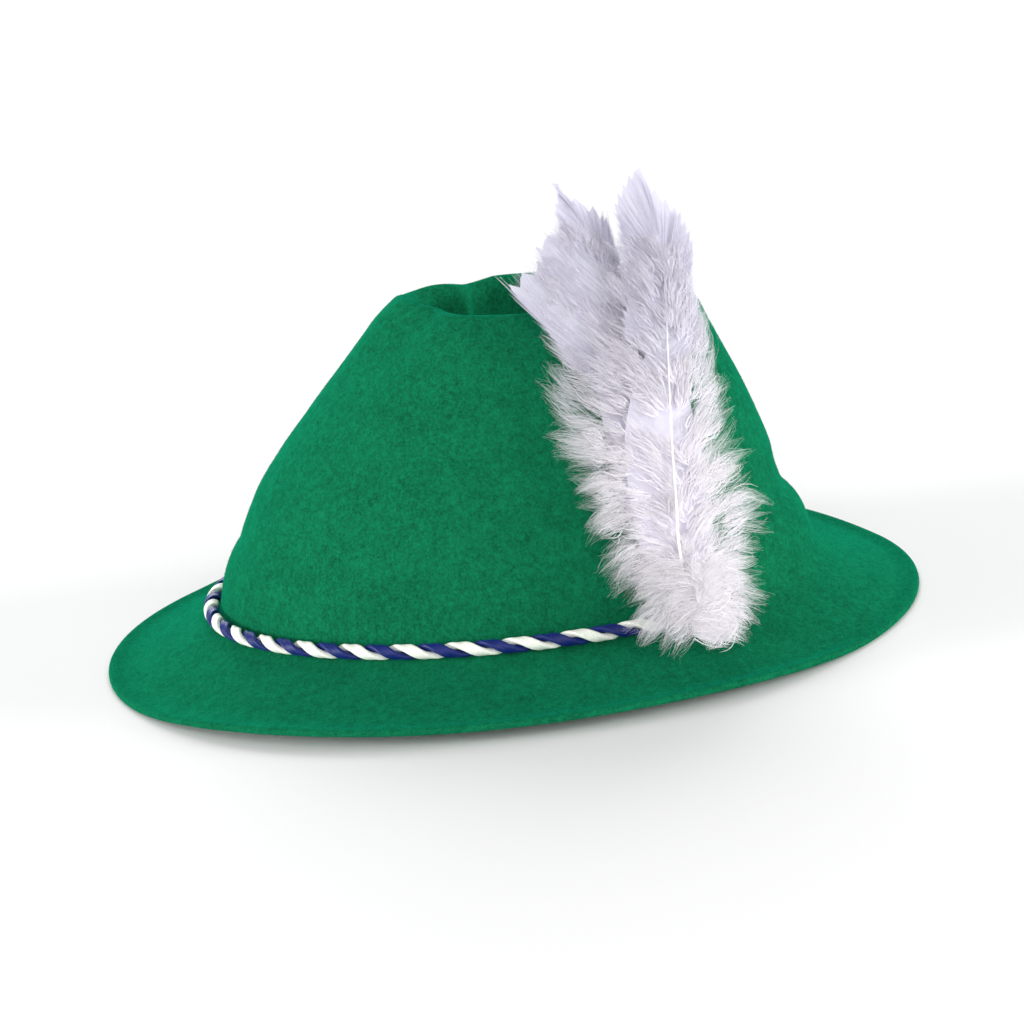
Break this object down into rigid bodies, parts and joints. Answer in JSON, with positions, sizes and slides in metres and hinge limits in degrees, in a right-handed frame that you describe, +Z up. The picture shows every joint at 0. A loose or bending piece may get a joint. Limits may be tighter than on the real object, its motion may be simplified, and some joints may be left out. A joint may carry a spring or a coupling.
{
  "type": "tyrolean hat",
  "caption": "Green felt tyrolean hat: dented and pinched crown, sloping brim, twisted navy and white cord, and a pale feather plume on the wearer's left.",
  "frame": {"origin": "on the surface that the brim rests on, under the middle of the brim", "axes": "+Z up, -Y out of the front of the hat, +X towards the wearer's left"},
  "size_m": [0.256, 0.276, 0.1504],
  "materials": {
    "felt": "matt wool felt",
    "cord_navy": "twisted yarn",
    "cord_white": "twisted yarn",
    "feather": "soft down"
  },
  "bodies": {
    "root": {"felt_body": "felt", "cord_ply_navy": "cord_navy", "cord_ply_white": "cord_white", "tall_feather": "feather", "short_feather": "feather", "tuft_feather": "feather"}
  },
  "joints": []
}
